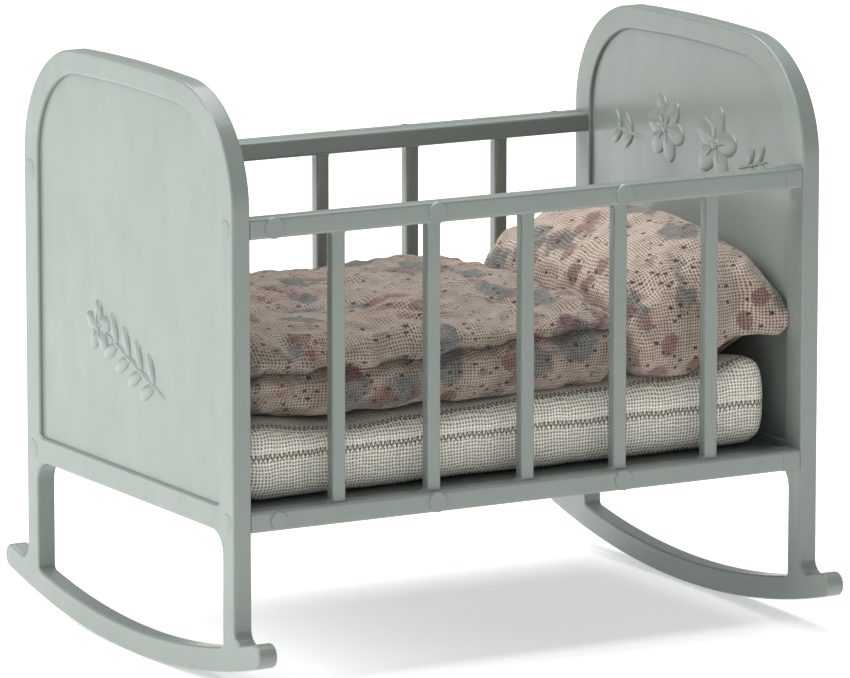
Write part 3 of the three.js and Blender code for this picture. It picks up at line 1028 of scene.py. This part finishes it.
def linen(name):
    """Open plain-weave linen with zig-zag dashed stripes along its length."""
    n = Nodes(name)
    u, v = n.surface_uv()
    p = n.position()
    u = n.math("ADD", u, n.wander(p, 0.0011, (0.4, 1.1, 0.2)))
    v = n.math("ADD", v, n.wander(p, 0.0011, (1.3, 0.3, 0.9)))
    pitch = 0.00062
    shade, hole, tone, height = n.woven(u, v, pitch)
    slub = n.ramp(n.noise(n.scaled(p, (1, 3, 3)), 500, 2), 0.3, 0.7)
    thread = n.mix(n.math("MULTIPLY", n.math("ADD", slub, tone), 0.5), (0.72, 0.69, 0.59), (1.0, 0.98, 0.89))
    # painted shade: each thread is darkened towards its sides, where it curves away from the light
    shaded_thread = n.mix(shade, (0.46, 0.43, 0.36), thread)
    # painted shade: the holes between the threads are painted almost black
    cloth = n.mix(n.math("MULTIPLY", hole, 0.85), shaded_thread, (0.05, 0.044, 0.034))
    stripe_pitch = 0.0088
    across = n.math("SUBTRACT", n.math("FRACT", n.math("DIVIDE", v, stripe_pitch)), 0.5)
    zig = n.math("MULTIPLY", n.math("PINGPONG", n.math("DIVIDE", u, pitch * 1.5), 0.5), 0.24)
    near = n.math("ABSOLUTE", n.math("SUBTRACT", across, zig))
    dash = n.ramp(near, 0.025, 0.052, 1, 0)
    pale = n.ramp(n.math("ABSOLUTE", n.math("ADD", across, -0.19)), 0.012, 0.028, 0.25, 0)
    cloth = n.mix(pale, cloth, (0.95, 0.92, 0.82))
    cloth = n.mix(n.math("MULTIPLY", dash, 0.8), cloth, (0.075, 0.05, 0.032))
    n.link(cloth, n.shader.inputs["Base Color"])
    n.shader.inputs["Roughness"].default_value = 0.92
    n.shader.inputs["Sheen Weight"].default_value = 0.15
    n.shader.inputs["Sheen Roughness"].default_value = 0.5
    n.bump(n.math("ADD", height, n.math("MULTIPLY", slub, 0.4)), 0.5, 0.00014)
    return n.material


def printed(name, seed, tint=1.0, with_seam_shade=False):
    """Plain-weave cotton printed with soft petals and scattered dashes."""
    n = Nodes(name)
    p = n.position()
    u, v = n.surface_uv()
    u = n.math("ADD", u, n.wander(p, 0.0011, (0.4, 1.1, 0.2 + seed)))
    v = n.math("ADD", v, n.wander(p, 0.0011, (1.3, 0.3, 0.9 + seed)))
    shade, weave, tone, height = n.woven(u, v, 0.00058)
    warp = n.noise(p, 320, 2)
    dark, light, pale = (
        tuple(c * tint for c in colour)
        for colour in ((0.36, 0.275, 0.215), (0.50, 0.40, 0.325), (0.62, 0.54, 0.46))
    )
    ground = n.mix(n.ramp(warp, 0.3, 0.7), dark, light)
    ground = n.mix(n.math("MULTIPLY", tone, 0.35), ground, pale)

    def spots(scale, turn, low, high, threshold, wobble):
        moved = n.add("ShaderNodeVectorMath", operation="ADD")
        rough = n.add("ShaderNodeTexNoise")
        n.link(p, rough.inputs["Vector"])
        rough.inputs["Scale"].default_value = 420
        bent = n.add("ShaderNodeVectorMath", operation="SCALE")
        n.link(rough.outputs["Color"], bent.inputs[0])
        bent.inputs["Scale"].default_value = wobble
        n.link(n.scaled(p, scale, turn), moved.inputs[0])
        n.link(bent.outputs[0], moved.inputs[1])
        cells = n.add("ShaderNodeTexVoronoi")
        n.link(moved.outputs[0], cells.inputs["Vector"])
        cells.inputs["Scale"].default_value = 1
        cells.inputs["Randomness"].default_value = 0.85
        chosen = n.add("ShaderNodeSeparateColor")
        n.link(cells.outputs["Color"], chosen.inputs[0])
        inside = n.ramp(cells.outputs["Distance"], low, high, 1, 0)
        some = n.math("GREATER_THAN", chosen.outputs[0], threshold)
        return n.math("MULTIPLY", inside, some), chosen.outputs[1]

    petals, tone = spots((100 + seed, 90, 100), (0.3, 0.5, 0.6 + seed), 0.36, 0.5, 0.45, 0.5)
    teal = n.mix(n.ramp(n.noise(p, 600, 2), 0.35, 0.65), (0.05, 0.075, 0.078), (0.115, 0.15, 0.145))
    cloth = n.mix(n.math("MULTIPLY", petals, 0.74), ground, teal)
    blots, tone = spots((150, 190 + seed, 170), (0.9, 0.2, 0.1 + seed), 0.3, 0.42, 0.5, 0.5)
    red = n.mix(n.ramp(n.noise(p, 500, 2), 0.35, 0.65), (0.14, 0.05, 0.046), (0.23, 0.098, 0.086))
    cloth = n.mix(n.math("MULTIPLY", blots, 0.7), cloth, red)
    dashes, tone = spots((400, 480, 620), (0.05, 0.12, 0.1), 0.16, 0.25, 0.06, 0.3)
    cloth = n.mix(n.math("MULTIPLY", dashes, 0.95), cloth, (0.045, 0.022, 0.018))
    cloth = n.mix(n.ramp(shade, 0.5, 1.0, 0.4, 0), cloth, (0.1, 0.07, 0.055))
    # painted shade: the holes between the threads are painted almost black
    cloth = n.mix(n.math("MULTIPLY", weave, 0.85), cloth, (0.03, 0.02, 0.016))
    # painted shade: a thin dark line stands in for the shade in the seam's crease on the duvet's near side
    if with_seam_shade:
        cloth = n.mix(n.painted_seam_shade(), cloth, (0.03, 0.018, 0.014))
    n.link(cloth, n.shader.inputs["Base Color"])
    n.shader.inputs["Roughness"].default_value = 0.9
    n.shader.inputs["Sheen Weight"].default_value = 0.2
    n.shader.inputs["Sheen Roughness"].default_value = 0.45
    n.bump(n.math("ADD", height, n.math("MULTIPLY", warp, 0.8)), 0.5, 0.00014)
    return n.material


def dress(piece, material):
    piece.data.materials.clear()
    piece.data.materials.append(material)


PAINT = (0.202, 0.235, 0.211)
casting_paint = painted("sage_paint", PAINT, 0.34)
plate_paint = painted("sage_paint_plate", tuple(c * 0.8 for c in PAINT), 0.5)
rivet_paint = painted("sage_paint_rivets", tuple(c * 0.97 for c in PAINT), 0.4)
linen_cloth = linen("striped_linen")
duvet_cloth = printed("printed_cotton_duvet", 0, 0.76, with_seam_shade=True)
pillow_cloth = printed("printed_cotton_pillow", 7)

for piece in (foot_end, head_end, near_side, far_side):
    dress(piece, casting_paint)
    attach(piece, "cradle")
dress(mattress, linen_cloth)
dress(duvet, duvet_cloth)
dress(pillow, pillow_cloth)

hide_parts("foot_end")
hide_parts("head_end")
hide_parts("near_side_frame")
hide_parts("far_side_frame")

for name, piece in rivets.items():
    dress(piece, rivet_paint)
    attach(piece, "cradle")
    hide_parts(name)
dress(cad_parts["base_plate"], plate_paint)

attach(mattress, "mattress")
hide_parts("mattress_cover", "mattress_filling")
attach(duvet, "duvet")
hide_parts("duvet_cover", "duvet_filling")
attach(pillow, "pillow")
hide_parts("pillow_cover", "pillow_filling")

# ---------------------------------------------------------------- floor, light and camera

floor_z = CAD_BOX[0][2]
floor = new_object(
    "floor",
    mesh_from(
        "floor",
        [(-8, -8, floor_z), (8, -8, floor_z), (8, 8, floor_z), (-8, 8, floor_z)],
        [(0, 1, 2, 3)],
    ),
)
floor_nodes = Nodes("pale_floor")
tint = floor_nodes.mix(
    floor_nodes.noise(floor_nodes.position(), 3), (0.93, 0.93, 0.925), (0.95, 0.95, 0.945)
)
floor_nodes.link(tint, floor_nodes.shader.inputs["Base Color"])
floor_nodes.shader.inputs["Roughness"].default_value = 0.95
floor_nodes.shader.inputs["Emission Color"].default_value = (1, 1, 1, 1)
floor_nodes.shader.inputs["Emission Strength"].default_value = 0.4
dress(floor, floor_nodes.material)


def soft_light(name, place, target, width, power):
    data = bpy.data.lights.new(name, "AREA")
    data.shape = "SQUARE"
    data.size = width
    data.energy = power
    lamp = bpy.data.objects.new(name, data)
    COLLECTION.objects.link(lamp)
    lamp.location = place
    lamp.rotation_euler = (Vector(target) - Vector(place)).to_track_quat("-Z", "Y").to_euler()


soft_light("key", (-1.0, 0.15, 0.75), (0, 0, 0.05), 0.7, 10.6)
soft_light("top", (0.0, 0.3, 1.1), (0, 0, 0.05), 1.2, 15)
soft_light("front", (-0.3, -1.3, 0.35), (0, 0, 0.05), 0.9, 1.15)

world = bpy.data.worlds.new("studio")
world.use_nodes = True
world.node_tree.nodes["Background"].inputs["Color"].default_value = (1, 1, 1, 1)
world.node_tree.nodes["Background"].inputs["Strength"].default_value = 0.33
bpy.context.scene.world = world
bpy.context.scene.view_settings.view_transform = "Standard"

AZIMUTH = math.radians(-29.56)
ELEVATION = math.radians(10.62)
DISTANCE = 1.3005
LENS = 303.1
camera_data = bpy.data.cameras.new("photo_view")
camera_data.sensor_width = 36
camera_data.lens = LENS
camera_data.clip_start = 0.05
camera_data.clip_end = 30
camera = bpy.data.objects.new("photo_view", camera_data)
COLLECTION.objects.link(camera)
target = Vector((0.00096, 0, 0.0512))
back = Vector(
    (
        math.sin(AZIMUTH) * math.cos(ELEVATION),
        -math.cos(AZIMUTH) * math.cos(ELEVATION),
        math.sin(ELEVATION),
    )
)
camera.location = target + back * DISTANCE
camera.rotation_euler = (-back).to_track_quat("-Z", "Y").to_euler()
bpy.context.scene.camera = camera

bpy.context.view_layer.update()
